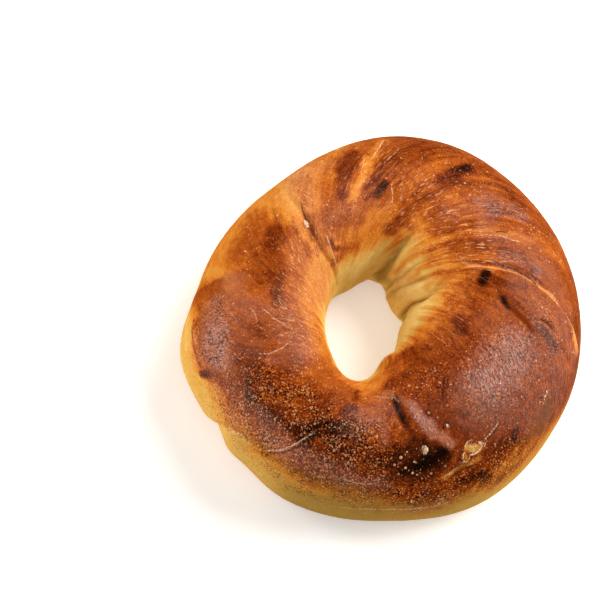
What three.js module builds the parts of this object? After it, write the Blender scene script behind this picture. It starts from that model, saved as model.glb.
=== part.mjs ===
// An acma: a soft bread ring made from one rope of dough, its ends laid over each other and
// pressed together, with the seams, folds and slits that showed when it was baked.
// Millimetres, +Z up, lying on Z = 0 with the middle of its outline at the origin.
//
// A place on the ring is a station and a lift, both in degrees. The station runs counter-clockwise
// from +X round the middle of the hole. The lift runs round the rope's section: 0 faces outward,
// 90 is the crest, 180 is the wall of the hole and 270 the underside.

import * as THREE from "three";

// The ring
const OUTLINE_HALF_X = 58.4; // outer oval
const OUTLINE_HALF_Y = 61.8;
const HOLE_HALF_X = 11.6; // oval of the hole
const HOLE_HALF_Y = 19.6;
const HOLE_TURN = 4; // degrees
const HOLE_X = -7.0; // the hole lies off the middle, so the rope is thickest at +X
const HOLE_Y = -2.3;
const HEIGHT = 42;

// The rope's section
const WIDEST_SHARE = 0.42; // the level of its widest part, as a share of its height
const SECTION_POWER = 2.2; // 2 is an ellipse, and more is fuller
const SAG = 1.35; // how far the lower half would hang if the tray had not flattened it
const FOOT_ROUND = 2.0; // between flank and underside

// How finely the surface is drawn
const STATION_STEPS = 144;
const LIFT_STEPS = 40;
const CROWDING = 0.3; // rows are closer on the crest than on the underside
const CREASE_STEPS = 48;
const END_FADE = 0.22; // share of a crease over which it runs out at each end
const FOOT_CLEAR = 6; // creases fade out over this height above the tray

// Where the rope swells or narrows: spread is in degrees of station, the rest in millimetres.
// Outward moves the outside, hole moves the wall of the hole away from its middle, up the crest.
const SWELLINGS = [
  { station: 74, spread: 20, outward: 0.8 },
  { station: 136, spread: 32, outward: -4.3 },
  { station: 209, spread: 15, outward: 4.4 },
  { station: 231, spread: 5, outward: -0.8 },
  { station: 241, spread: 5, outward: 1.2 },
  { station: 260, spread: 11, outward: 0.8 },
  { station: 294, spread: 14, outward: -1.3 },
  { station: 320, spread: 14, outward: 0.7 },
  { station: 28, spread: 10, hole: 2.2 },
  { station: 65, spread: 18, hole: -3.0 },
  { station: 76, spread: 5, hole: -0.9 },
  { station: 115, spread: 18, hole: -2.6 },
  { station: 272, spread: 16, hole: 2.4 },
  { station: 306, spread: 14, hole: -2.2 },
  { station: 172, spread: 34, up: -2.6 },
  { station: 350, spread: 40, up: 0.8 },
];

// Creases and ridges that run over the rope, as [station, lift] points on their way.
// depth is [at the first point, at the last] and below zero for a ridge. lip is how far one
// side stands proud: side 1 is to the right of the way, seen from outside, and -1 to the left.
const CREASES = [
  {
    name: "edge of the lobe that lies over the other end",
    path: [
      [42, 226],
      [40, 192],
      [36, 172],
      [29, 150],
      [38, 118],
      [31, 93],
      [20, 66],
      [12, 36],
      [5, 12],
    ],
    depth: [2.8, 0.8],
    width: 1.7,
    lip: 1.5,
    side: 1,
    reach: 7,
  },
  {
    name: "first fold into the hole",
    path: [[97, 226], [93, 195], [88, 178], [83, 147], [80, 134], [78, 114]],
    depth: [3.6, 0.4],
    width: 2.4,
  },
  {
    name: "second fold into the hole",
    path: [[88, 226], [81, 192], [75, 172], [66, 153], [61, 138], [54, 122]],
    depth: [2.8, 0.3],
    width: 1.9,
  },
  {
    name: "third fold into the hole",
    path: [[82, 226], [75, 192], [65, 171], [51, 151], [45, 140], [42, 126]],
    depth: [2.6, 0.4],
    width: 1.9,
  },
  {
    name: "seam of the other end",
    path: [[139, 28], [145, 63], [149, 97], [153, 121], [149, 152], [146, 178]],
    depth: [1.2, 1.6],
    width: 1.7,
    lip: 1.0,
    side: -1,
    reach: 6,
  },
  {
    name: "soft groove beside that seam",
    path: [[146, 28], [156, 64], [161, 88]],
    depth: [1.0, 0.6],
    width: 2.6,
  },
  {
    name: "crust line over the pale flank",
    path: [[221, -48], [235, -2], [241, 17], [248, 24], [257, 25], [267, 20]],
    depth: [0.9, 0.5],
    width: 1.8,
    lip: 3.4,
    side: -1,
    reach: 9,
  },
  {
    name: "soft groove up from the hole",
    path: [[278, 138], [283, 106], [286, 80], [287, 46]],
    depth: [1.1, 0.5],
    width: 3.2,
  },
  {
    name: "slit",
    path: [[293, 108], [295, 92], [298, 78]],
    depth: [1.7, 1.2],
    width: 1.5,
  },
  {
    name: "raised band beside the slit",
    path: [[297, 104], [302.5, 82], [310, 60]],
    depth: [-1.0, -0.7],
    width: 3.6,
  },
  {
    name: "wavy fold low on the flank",
    path: [[308, 40], [313, 42], [316, 32], [319, 16]],
    depth: [1.0, 0.8],
    width: 1.7,
  },
  {
    name: "shallow groove on the lobe",
    path: [[15, 96], [10, 84], [5, 71]],
    depth: [0.9, 0.9],
    width: 2.6,
  },
];

const degrees = THREE.MathUtils.degToRad;

/** Goes from 0 to 1 with a gentle start and end. */
function ease(share) {
  return THREE.MathUtils.smoothstep(share, 0, 1);
}

/** Keeps a height at or above the tray, with a rounded foot. */
function onTray(height) {
  if (height <= -FOOT_ROUND) return 0;
  if (height >= FOOT_ROUND) return height;
  return (height + FOOT_ROUND) ** 2 / (4 * FOOT_ROUND);
}

/** Distance from the middle of the hole to the outer oval, in the direction of a station. */
function outlineRadius(station) {
  const x = Math.cos(degrees(station)) / OUTLINE_HALF_X;
  const y = Math.sin(degrees(station)) / OUTLINE_HALF_Y;
  const startX = HOLE_X / OUTLINE_HALF_X;
  const startY = HOLE_Y / OUTLINE_HALF_Y;
  const squared = x * x + y * y;
  const half = x * startX + y * startY;
  const rest = startX * startX + startY * startY - 1;
  return (-half + Math.sqrt(half * half - squared * rest)) / squared;
}

/** Distance from the middle of the hole to its own oval. */
function holeRadius(station) {
  const turned = degrees(station - HOLE_TURN);
  return 1 / Math.hypot(Math.cos(turned) / HOLE_HALF_X, Math.sin(turned) / HOLE_HALF_Y);
}

/** The rope at a station: its two radii about the middle of the hole, and its height. */
function rope(station) {
  const size = { outer: outlineRadius(station), inner: holeRadius(station), height: HEIGHT };
  for (const { station: middle, spread, outward = 0, hole = 0, up = 0 } of SWELLINGS) {
    const turn = THREE.MathUtils.euclideanModulo(station - middle + 180, 360) - 180;
    const share = Math.exp(-((turn / spread) ** 2));
    size.outer += outward * share;
    size.inner += hole * share;
    size.height += up * share;
  }
  return size;
}

/** A point on the plain rope, before its creases. */
function plainPoint(station, lift) {
  const { outer, inner, height } = rope(station);
  const across = Math.cos(degrees(lift));
  const upward = Math.sin(degrees(lift));
  const fullAcross = Math.sign(across) * Math.abs(across) ** (2 / SECTION_POWER);
  const fullUpward = Math.abs(upward) ** (2 / SECTION_POWER);
  const radius = (outer + inner) / 2 + ((outer - inner) / 2) * fullAcross;
  const widest = WIDEST_SHARE * height;
  const z = upward >= 0 ? widest + (height - widest) * fullUpward : widest * (1 - SAG * fullUpward);
  return new THREE.Vector3(
    HOLE_X + radius * Math.cos(degrees(station)),
    HOLE_Y + radius * Math.sin(degrees(station)),
    onTray(z),
  );
}

/** The way out of the plain rope at a place. */
function plainNormal(station, lift) {
  const step = 0.5;
  const along = plainPoint(station + step, lift).sub(plainPoint(station - step, lift));
  const around = plainPoint(station, lift + step).sub(plainPoint(station, lift - step));
  return along.cross(around).normalize();
}

/** A crease with the points of its way over the plain rope. */
function traced(crease) {
  const way = new THREE.SplineCurve(crease.path.map((place) => new THREE.Vector2(...place)));
  const points = way.getPoints(CREASE_STEPS).map((place) => plainPoint(place.x, place.y));
  return { lip: 0, side: 1, reach: 1, ...crease, points };
}

/** How far a crease moves a point of the plain rope outward. */
function creaseRelief({ points, depth, width, lip, side, reach }, point, normal) {
  let nearest = 0;
  for (let i = 1; i < points.length; i++) {
    if (points[i].distanceToSquared(point) < points[nearest].distanceToSquared(point)) nearest = i;
  }
  const share = nearest / (points.length - 1);
  const away = points[nearest].distanceTo(point);
  const ends = ease(share / END_FADE) * ease((1 - share) / END_FADE);
  const groove = THREE.MathUtils.lerp(depth[0], depth[1], share) * Math.exp(-((away / width) ** 2));

  const before = points[Math.max(nearest - 1, 0)];
  const after = points[Math.min(nearest + 1, points.length - 1)];
  const onward = after.clone().sub(before);
  const aside = point.clone().sub(points[nearest]);
  const onLipSide = side * onward.cross(aside).dot(normal) < 0;
  const rise = onLipSide ? lip * Math.exp(-away / reach) * (1 - Math.exp(-away / width)) : 0;
  return ends * (rise - groove);
}

/** A point on the finished surface. */
function ringPoint(station, lift, creases) {
  const point = plainPoint(station, lift);
  const normal = plainNormal(station, lift);
  let relief = 0;
  for (const crease of creases) relief += creaseRelief(crease, point, normal);
  point.addScaledVector(normal, relief * ease(point.z / FOOT_CLEAR));
  return point;
}

/** The lift of a row: the rows start at the crest and are closest there. */
function rowLift(row) {
  const turn = (2 * Math.PI * row) / LIFT_STEPS;
  return 90 + THREE.MathUtils.radToDeg(turn - CROWDING * Math.sin(turn));
}

/** The whole ring as one closed surface. */
function ringGeometry() {
  const creases = CREASES.map(traced);
  const positions = [];
  const triangles = [];
  for (let column = 0; column < STATION_STEPS; column++) {
    for (let row = 0; row < LIFT_STEPS; row++) {
      positions.push(...ringPoint((360 * column) / STATION_STEPS, rowLift(row), creases));
      const corner = column * LIFT_STEPS + row;
      const above = column * LIFT_STEPS + ((row + 1) % LIFT_STEPS);
      const beside = ((column + 1) % STATION_STEPS) * LIFT_STEPS;
      const opposite = beside + ((row + 1) % LIFT_STEPS);
      triangles.push(corner, beside + row, opposite, corner, opposite, above);
    }
  }
  const geometry = new THREE.BufferGeometry();
  geometry.setAttribute("position", new THREE.Float32BufferAttribute(positions, 3));
  geometry.setIndex(triangles);
  geometry.computeVertexNormals();
  return geometry;
}

const crust = new THREE.MeshStandardMaterial({ color: 0xa85e28, roughness: 0.5, metalness: 0 });

const ring = new THREE.Mesh(ringGeometry(), crust);
ring.name = "bread_ring";

const acma = new THREE.Group();
acma.name = "acma";
acma.add(ring);

export default acma;
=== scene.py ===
"""An acma on a pale floor: the bread ring's crust in fine relief, its colours and soft studio light.

Lengths are in millimetres, as in the part, until the mesh, camera and lights are made in metres.
A place on the ring is a station and a lift, both in degrees. The station runs counter-clockwise
from +X round the middle of the hole. The lift runs round the rope's section: 0 faces outward,
90 is the crest, 180 is the wall of the hole and 270 the underside.
"""
import itertools

import bpy
import numpy as np
from mathutils import Matrix, Vector


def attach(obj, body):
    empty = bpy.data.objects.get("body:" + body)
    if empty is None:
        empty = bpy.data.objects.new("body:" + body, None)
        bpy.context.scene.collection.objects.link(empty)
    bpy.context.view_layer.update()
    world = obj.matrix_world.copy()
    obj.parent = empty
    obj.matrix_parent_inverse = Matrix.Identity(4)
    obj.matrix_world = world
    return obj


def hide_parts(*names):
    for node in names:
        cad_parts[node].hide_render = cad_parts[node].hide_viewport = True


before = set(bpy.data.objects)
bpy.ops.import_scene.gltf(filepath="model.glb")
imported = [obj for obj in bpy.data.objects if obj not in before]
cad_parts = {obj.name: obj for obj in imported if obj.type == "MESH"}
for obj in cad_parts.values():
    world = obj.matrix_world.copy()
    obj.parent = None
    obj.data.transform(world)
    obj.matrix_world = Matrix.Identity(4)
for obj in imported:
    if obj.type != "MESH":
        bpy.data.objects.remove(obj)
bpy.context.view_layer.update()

METRES = 0.001

# The ring, with the part's own sizes
OUTLINE_HALF = np.array([58.4, 61.8])
HOLE_HALF = np.array([11.6, 19.6])
HOLE_TURN = 4
HOLE_MIDDLE = np.array([-7.0, -2.3])
HEIGHT = 42
WIDEST_SHARE = 0.42
SECTION_POWER = 2.2
SAG = 1.35
FOOT_ROUND = 2.0
FOOT_CLEAR = 6
END_FADE = 0.22

# How finely the crust is drawn
STATION_STEPS = 512
LIFT_STEPS = 190
CROWDING = 0.5  # share by which points lie closer at the crest and wider apart underneath
WAY_STEPS = 48
NOISE_CELLS = 32

# Swellings of the rope: station, spread in degrees, then how far the outside, the wall of the hole
# and the crest move
SWELLINGS = [
    (74, 20, 0.8, 0, 0),
    (136, 32, -4.3, 0, 0),
    (209, 15, 4.4, 0, 0),
    (231, 5, -0.8, 0, 0),
    (241, 5, 1.2, 0, 0),
    (260, 11, 0.8, 0, 0),
    (294, 14, -1.3, 0, 0),
    (320, 14, 0.7, 0, 0),
    (28, 10, 0, 2.2, 0),
    (65, 18, 0, -3, 0),
    (76, 5, 0, -0.9, 0),
    (115, 18, 0, -2.6, 0),
    (272, 16, 0, 2.4, 0),
    (306, 14, 0, -2.2, 0),
    (172, 34, 0, 0, -2.6),
    (350, 40, 0, 0, 0.8),
]

# Ways that marks of several kinds follow
LOBE_LIP = [(7, 28), (11, 40), (15, 50), (20, 63), (26, 82), (32, 96), (38, 111)]
LOBE_DIP = [(28, 72), (35, 90)]
LEAF_PATCH = [(3, 58), (7, 70)]
LEAF_STEM = [(1, 32), (3, 44), (4, 54)]
BACK_CRACK = [(52, 54), (54, 60)]
SEAM_BANK = [(139, 50), (146, 84)]
RAISED_BAND = [(297, 99), (303, 83), (310, 63)]
TORN_PATCH = [(316, 57), (319, 54)]
TORN_CORNER = [(314, 53), (314.5, 49)]

# The part's creases, and its ridge as one of negative depth, narrower than the solid draws them:
# depth at the first and last place, width, lip (its height, side and reach), way.
# Side 1 is to the right of the way, seen from outside, and -1 to the left.
CREASES = [
    # edge of the lobe that lies over the other end
    ((2.2, 0.5), 0.9, (1.7, 1, 7),
     [(42, 226), (40, 192), (36, 172), (29, 150), (38, 118), (31, 93), (20, 66), (12, 36), (5, 12)]),
    # folds into the hole
    ((2.8, 0.4), 1.2, None, [(97, 226), (93, 195), (88, 178), (83, 147), (80, 134), (78, 114)]),
    ((1.7, 0.3), 1.1, None, [(88, 226), (81, 192), (75, 172), (66, 153), (61, 138), (54, 122)]),
    ((1.4, 0.4), 1.1, None, [(82, 226), (75, 192), (65, 171), (51, 151), (45, 140), (42, 126)]),
    # seam of the other end, and the soft groove beside it
    ((0.6, 0.3), 1, (1, -1, 5), [(139, 28), (145, 63), (149, 97), (153, 121), (149, 152), (146, 178)]),
    ((0.7, 0.4), 2.6, None, [(146, 28), (156, 64), (161, 88)]),
    # crust line over the pale flank
    ((0.7, 0.3), 1.4, (3.4, -1, 9), [(221, -48), (235, -2), (241, 17), (248, 24), (257, 25), (267, 20)]),
    # soft groove up from the hole, slit, and the raised band beside the slit
    ((1, 0.4), 3, None, [(278, 138), (283, 106), (286, 80), (287, 46)]),
    ((1.3, 0.9), 0.8, None, [(293, 108), (295, 92), (298, 78)]),
    ((-1, -0.7), 3, None, [(297, 104), (302.5, 82), (310, 60)]),
    # wavy fold low on the flank, and the shallow groove on the lobe
    ((1, 0.8), 1.2, None, [(308, 40), (313, 42), (316, 32), (319, 16)]),
    ((0.5, 0.5), 1.7, None, [(15, 96), (10, 84), (5, 71)]),
]

# Finer cracks and edges: depth, width, way
FINE_CREASES = [
    # behind the lobe's lip, and on the lobe
    (0.9, 0.5, [(20, 60), (24, 72), (30, 85), (36, 97)]),
    (0.5, 0.5, [(7, 58), (9, 64), (9.5, 69)]),
    (0.25, 0.7, LEAF_STEM),
    (0.4, 0.5, [(13, 92), (17, 93)]),
    (0.5, 0.6, [(315, 89), (319, 96), (324, 105)]),
    # back
    (0.4, 0.5, [(45, 79), (49, 86)]),
    (0.3, 0.5, BACK_CRACK),
    (0.3, 0.5, [(60, 70), (63, 77)]),
    # beside the seam
    (0.6, 0.5, [(144, 79), (147, 88), (149, 97), (152, 108)]),
    (0.3, 0.6, [(140, 46), (142, 58), (144, 70)]),
    # front
    (0.5, 0.6, [(309, 40), (313, 44), (317, 48), (321, 46)]),
    (0.3, 0.6, [(274, 106), (276, 118)]),
]

# How far the crust is baked, from 0 for pale dough to 1 for burnt, as control points of station and level:
# over the crest, then over the inner shoulder
CREST_BAKE = [(0, 0.71), (20, 0.67), (40, 0.62), (60, 0.63), (80, 0.65), (95, 0.65), (110, 0.59),
              (125, 0.55), (140, 0.46), (152, 0.42), (165, 0.48), (180, 0.48), (196, 0.56), (215, 0.65),
              (230, 0.68), (250, 0.7), (270, 0.72), (290, 0.7), (305, 0.72), (320, 0.74), (335, 0.74)]
SHOULDER_BAKE = [(0, 0.6), (20, 0.57), (40, 0.47), (60, 0.45), (80, 0.47), (95, 0.48), (110, 0.47),
                 (130, 0.5), (145, 0.42), (160, 0.41), (180, 0.43), (200, 0.47), (220, 0.49), (240, 0.48),
                 (255, 0.54), (270, 0.53), (285, 0.45), (300, 0.61), (320, 0.73), (340, 0.64)]
SHOULDER_LIFTS = (85, 115)
# Lift at which the pale flank turns brown and over how much, and lift at which the brown ends over the hole
OUTER_EDGE = [(0, 10), (40, 8), (90, 5), (120, 16), (140, 14), (160, 4), (190, 8), (205, 25), (222, 23),
              (232, 20), (245, 22), (262, 20), (280, 11), (300, 8), (318, 14), (335, 15)]
OUTER_FADE = [(0, 14), (120, 24), (160, 16), (195, 14), (220, 14), (240, 24), (290, 22), (315, 16)]
INNER_EDGE = [(0, 142), (20, 139), (30, 135), (50, 137), (66, 136), (80, 134), (87, 150), (110, 149),
              (130, 150), (145, 151), (165, 155), (182, 154), (205, 150), (235, 152), (265, 145), (285, 138),
              (300, 153), (330, 152), (345, 150)]
INNER_FADE = 14
FLANK_BAKE = 0.18
WALL_BAKE = 0.02
UNDERSIDE_BAKE = 0.47
FOOT_BROWNING = 5  # height of the browned foot
# Painted shade on the flank, darker towards the floor, and on the wall of the hole, deeper down it, both in
# an olive tone, and the lifts between which each comes or goes
FLANK_PAINTED_SHADE = [(0, 0.3), (200, 0.05), (235, 0.15), (252, 0.35), (268, 0.8), (282, 0.8), (306, 0.6),
               (330, 0.3)]
FLANK_PAINTED_SHADE_LIFTS = (6, 28)
WALL_PAINTED_SHADE = [(0, 0), (80, 0), (90, 0.2), (130, 0.26), (150, 0.2), (170, 0)]
WALL_PAINTED_SHADE_LIFTS = (135, 170)
# How far the bake is drawn out into streaks along the dough's grain
STREAKY = [(0, 0.3), (25, 0.8), (50, 1), (82, 1), (94, 0.5), (140, 0.4), (165, 0.5), (230, 0.4),
           (255, 0.2), (330, 0.2)]

# Strokes from here to the single blisters are listed: the level that a value is drawn to, strength,
# half width, softness, way. Later strokes lie over earlier ones.
# Browner and paler stretches with ragged edges
BROWNING = [
    # all round, inside the crest
    (0.7, 0.6, 5, 3, [(0, 105), (360, 105)]),
    # right lobe
    (0.45, 0.8, 2.2, 1.6, [(340, 137), (352, 135)]),
    (0.82, 0.8, 2, 1.4, [(352, 112), (360, 118)]),
    (0.67, 0.8, 2.4, 1.6, [(17, 84), (24, 92)]),
    (0.7, 0.6, 3, 2, [(4, 106), (24, 112)]),
    (0.6, 0.5, 4, 3, [(2, 40), (14, 62)]),
    (0.82, 0.7, 2.4, 1.8, LOBE_DIP),
    # back
    (0.5, 0.7, 1.4, 1, [(32, 44), (36, 52), (41, 60)]),
    (0.7, 0.8, 4, 2.5, [(44, 46), (58, 54), (68, 52)]),
    (0.74, 0.7, 2.4, 1.8, [(50, 62), (58, 78)]),
    (0.7, 0.7, 1.8, 1.4, [(37, 80), (45, 92)]),
    (0.52, 0.6, 2.2, 1.6, [(60, 84), (64, 98), (66, 108)]),
    (0.58, 0.6, 3, 2, [(128, 62), (134, 82)]),
    # crests of the pleats into the hole, and the pale strips between them
    (0.47, 0.8, 1, 1, [(60, 112), (63, 122), (67, 134), (72, 148), (76, 160)]),
    (0.47, 0.8, 1, 1, [(49, 113), (51, 124), (54, 138), (59, 152)]),
    (0.44, 0.7, 1.2, 1, [(37, 120), (37, 133), (40, 146)]),
    (0.6, 0.7, 1, 0.8, [(58, 104), (61, 124)]),
    (0.6, 0.7, 1, 0.8, [(81, 110), (84, 128)]),
    (0.12, 0.8, 0.8, 0.7, [(84, 174), (79, 150), (77, 136)]),
    (0.12, 0.8, 1.1, 0.9, [(69, 166), (60, 148)]),
    (0.72, 0.8, 2.6, 1.8, [(72, 58), (78, 86)]),
    (0.71, 0.8, 4, 2.5, [(82, 58), (92, 74), (103, 90)]),
    (0.63, 0.8, 1.5, 1.1, [(95, 56), (101, 72)]),
    (0.46, 0.9, 1.1, 0.8, [(102, 48), (105, 64), (108, 78)]),
    (0.44, 0.8, 1.1, 0.8, [(109, 72), (111, 84)]),
    (0.8, 0.9, 2.6, 1.4, [(114, 62), (119, 74)]),
    (0.83, 0.9, 1.8, 1.2, [(119, 82), (125, 92)]),
    (0.4, 0.8, 1.2, 0.9, [(109, 84), (114, 92), (119, 100)]),
    (0.72, 0.8, 2.2, 1.6, [(88, 120), (91, 138)]),
    (0.6, 0.6, 3, 2.2, [(118, 112), (130, 114), (140, 114)]),
    (0.6, 0.8, 1.8, 1.2, [(121, 141), (132, 138), (143, 139)]),
    (0.45, 0.6, 5, 3, [(118, 36), (132, 52)]),
    # seam
    (0.34, 0.8, 1.2, 0.9, [(141, 30), (145, 58), (149, 80), (153, 98), (156, 112), (161, 130)]),
    (0.58, 0.7, 2.4, 1.6, [(136, 56), (143, 82)]),
    # left
    (0.42, 0.7, 4, 2.5, [(162, 28), (186, 30)]),
    (0.68, 0.7, 4, 3, [(160, 56), (178, 60)]),
    # painted shade: the low left wall of the hole drawn darker
    (0.3, 0.7, 3, 2, [(160, 166), (182, 164)]),
    (0.54, 0.4, 0.5, 0.5, [(150, 48), (154, 60), (159, 80)]),
    (0.73, 0.8, 5, 2.5, [(167, 80), (176, 83), (186, 87)]),
    (0.72, 0.8, 2.2, 1.6, [(157, 91), (168, 86)]),
    (0.8, 0.8, 2.2, 1.6, [(165, 80), (175, 84)]),
    (0.76, 0.8, 1.8, 1.4, [(178, 95), (188, 96)]),
    (0.82, 0.8, 1.7, 1.3, [(193, 99), (206, 97)]),
    (0.6, 0.8, 3.2, 1.6, [(192, 16), (197, 36)]),
    (0.64, 0.8, 3.4, 2.4, [(190, 72), (198, 78), (206, 88)]),
    (0.68, 0.8, 3, 2, [(194, 48), (202, 58)]),
    (0.64, 0.9, 6, 2, [(209, 46), (222, 50)]),
    (0.7, 0.7, 4, 2.5, [(206, 76), (222, 86)]),
    (0.24, 0.8, 2.4, 1.5, [(203, 8), (220, 6), (231, 4)]),
    # front left
    (0.78, 0.8, 4, 2.5, [(226, 62), (236, 58)]),
    (0.86, 0.9, 2.4, 1.6, [(238, 52), (248, 50)]),
    (0.86, 0.8, 2.2, 1.5, [(250, 57), (262, 62)]),
    (0.92, 0.9, 3, 2, [(262, 62), (268, 76), (276, 82)]),
    (0.74, 0.7, 4, 2.5, [(242, 78), (252, 84), (262, 96)]),
    (0.52, 0.6, 3, 2, [(240, 30), (258, 36)]),
    (0.62, 0.6, 3, 2, [(248, 108), (262, 110)]),
    # front
    (0.8, 0.8, 3.6, 2.4, [(268, 58), (286, 58)]),
    (0.86, 0.9, 1.5, 1.1, [(272, 92), (276, 98)]),
    (0.7, 0.6, 3, 2, [(278, 84), (290, 92)]),
    (0.89, 0.9, 4.6, 2.4, [(294, 56), (300, 60), (304, 55)]),
    (1, 0.95, 2.6, 1.5, [(297, 46), (302, 52), (307, 57)]),
    (0.84, 0.8, 2, 1.4, [(290, 42), (302, 39)]),
    (0.76, 0.8, 2.6, 1.8, [(308, 92), (315, 77)]),
    (0.72, 0.8, 0.9, 0.6, RAISED_BAND),
    (0.74, 0.8, 1.6, 0.9, [(301, 90), (305, 78)]),
    (0.9, 0.9, 1.5, 0.9, [(312, 33), (319, 30)]),
    (0.8, 0.8, 2, 1.4, [(322, 47), (332, 46)]),
    (0.45, 0.7, 1.2, 0.8, [(326, 31), (330, 35)]),
    (0.5, 0.7, 2, 1.5, [(323, 26), (336, 24)]),
    (0.8, 0.7, 4, 2.5, [(314, 76), (330, 70)]),
    (0.72, 0.7, 6, 3, [(304, 104), (328, 110)]),
    (0.76, 0.8, 1.8, 1.2, [(292, 117), (301, 118)]),
    (0.76, 0.7, 4, 3, [(338, 42), (352, 46)]),
]

# Small marks with clearer edges
MARKS = [
    # right lobe: its lip and the crack behind, the groove, the leaf-shaped patch, the black spot
    (0.38, 0.95, 0.5, 0.4, LOBE_LIP),
    (0.4, 0.7, 0.8, 0.6, [(6, 28), (9, 37)]),
    (0.4, 0.7, 0.8, 0.5, [(31, 97), (35, 105), (39, 115)]),
    (0.77, 0.9, 1.1, 0.4, [(4.5, 74), (8, 81), (12, 89)]),
    (0.94, 0.9, 0.8, 0.5, [(12, 90), (16, 93)]),
    (0.88, 0.9, 1.5, 0.7, [(2, 54), (4, 62), (6, 69)]),
    (0.76, 0.7, 0.4, 0.5, LEAF_STEM),
    (0.82, 0.8, 0.9, 0.6, [(21, 82), (23, 93)]),
    (1, 0.95, 1.7, 0.9, [(25.5, 106), (28, 104)]),
    (0.96, 0.9, 0.8, 0.6, [(28, 103), (30, 102)]),
    (0.8, 0.8, 1.6, 1.2, [(25, 100), (22, 90)]),
    # back
    (0.94, 0.9, 1.5, 1.1, [(73, 62), (76, 74)]),
    (0.8, 0.8, 1.6, 1.2, [(75, 76), (79, 86)]),
    (0.94, 0.9, 1.3, 1, [(102, 97), (105, 104)]),
    (0.84, 0.8, 0.6, 0.6, [(105, 92), (111, 96)]),
    (0.84, 0.8, 0.6, 0.6, [(106, 102), (112, 104)]),
    (0.74, 0.9, 0.9, 0.6, [(143, 121), (143, 128), (139, 131)]),
    # seam
    (0.62, 0.8, 0.6, 0.5, [(150.5, 101), (152, 109)]),
    (0.6, 0.7, 0.4, 0.4, [(153, 111), (158, 120)]),
    # left: the pale step and the brown edge below it, then the dark spot
    (0.36, 0.7, 1.8, 0.9, [(184, 22), (186, 36), (187.5, 46)]),
    (0.66, 0.7, 1.3, 0.6, [(193, 22), (192, 34), (192, 50)]),
    (0.88, 0.9, 1.1, 0.6, [(221, 20), (223, 28)]),
    (0.8, 0.7, 0.5, 0.4, [(204, 30), (211, 27), (219, 24)]),
    (0.14, 0.8, 1, 0.9, [(232, -14), (237, 0), (242, 10), (247, 17)]),
    # front
    (0.78, 0.8, 0.9, 0.6, [(275, 108), (276, 119)]),
    # the dark of the slit and of the line below it is painted shadow
    (0.86, 0.9, 1.1, 0.6, [(294, 101), (295.5, 91), (297, 82)]),
    (0.84, 0.8, 0.9, 0.7, [(297.5, 80), (299, 71), (300, 63)]),
    (0.24, 0.9, 1, 0.5, TORN_PATCH),
    (0.4, 0.8, 0.5, 0.4, TORN_CORNER),
    (0.46, 0.8, 0.6, 0.4, [(306, 38), (310, 42), (314, 44), (318, 46)]),
    (0.94, 0.8, 0.9, 0.6, [(331, 43), (333, 48)]),
]

# Olive tone, with painted shade in the folds into the hole
OLIVE_TONES_AND_PAINTED_SHADE = [
    # torn patch
    (0.6, 0.9, 1, 0.5, TORN_PATCH),
    (0.5, 0.8, 0.5, 0.4, TORN_CORNER),
    # upper edge of the flank, lower right, fold
    (0.4, 0.8, 3.5, 3, [(243, 20), (255, 25), (268, 25), (282, 24)]),
    (0.2, 0.8, 4, 3, [(320, 18), (332, 28), (345, 32)]),
    (0.5, 0.8, 0.7, 0.5, [(307, 39), (312, 43), (318, 46)]),
    # painted shade in the folds into the hole
    (0.6, 0.8, 1.8, 1.6, [(94, 200), (84, 183), (78, 176)]),
    (0.6, 0.8, 1.4, 1.2, [(40, 196), (33, 180)]),
    (0.75, 0.8, 0.7, 1, [(93, 195), (88, 178), (83, 147), (80, 134)]),
    (0.5, 0.8, 0.4, 0.8, [(81, 192), (75, 172), (66, 153), (61, 138)]),
    (0.5, 0.8, 0.4, 0.8, [(75, 192), (65, 171), (51, 151), (45, 140)]),
    (0.4, 0.8, 0.4, 0.7, [(40, 192), (36, 172), (29, 150), (30, 142)]),
]

# Gloss of the egg wash
GLOSS = [
    # right lobe and the dip behind it
    (1, 1, 7, 5, [(339, 84), (352, 83)]),
    (0.35, 1, 7, 5, [(334, 56), (350, 48), (366, 46)]),
    (0.5, 1, 3, 2, LOBE_DIP),
    # back
    (0.7, 1, 3, 2.5, [(50, 62), (60, 80)]),
    (0.15, 1, 4, 3, [(112, 97), (124, 106)]),
    (0.3, 1, 4, 3, [(50, 104), (84, 102)]),
    (0.35, 1, 3, 2.5, [(120, 112), (140, 112)]),
    # front and left
    (0.6, 1, 2, 2, [(250, 34), (262, 46)]),
    (0.35, 1, 3, 2.5, [(276, 92), (290, 90)]),
    (0.35, 1, 2, 2, [(275, 32), (288, 36)]),
    (0.25, 1, 5, 4, [(164, 124), (190, 124), (214, 120)]),
    (0.35, 1, 5, 3, [(214, 110), (240, 106)]),
    (1, 1, 4.6, 2.5, [(212, 54), (219, 45)]),
    (0.2, 1, 4, 2.5, [(226, 60), (236, 56)]),
    # dull stretches
    (0, 1, 4, 3, [(292, 54), (306, 52)]),
    (0, 1, 5, 3, [(80, 64), (110, 72)]),
    (0, 1, 5, 3, [(240, 84), (256, 92)]),
    (0, 1, 9, 5, [(150, 46), (186, 38)]),
    (0, 1, 6, 3, [(162, 70), (176, 80), (194, 92)]),
    (0.03, 1, 5, 3, [(14, 34), (46, 44), (70, 52), (96, 50), (124, 46)]),
    (0, 1, 6, 4, [(190, 18), (202, 36)]),
    (0, 1, 6, 4, [(235, 18), (262, 20), (300, 28), (330, 34)]),
    # raised band, then the lobe's patch, groove and black spot
    (0.6, 1, 1.6, 0.9, [(300, 92), (306, 76)]),
    (0.4, 1, 1.5, 1, LEAF_PATCH),
    (0, 1, 1.6, 0.8, [(5, 75), (9, 82), (13, 91)]),
    (0, 1, 2, 1, [(23, 92), (27, 106)]),
    # wall of the hole
    (0, 1, 6, 4, [(296, 146), (330, 148), (375, 148)]),
]
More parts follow.
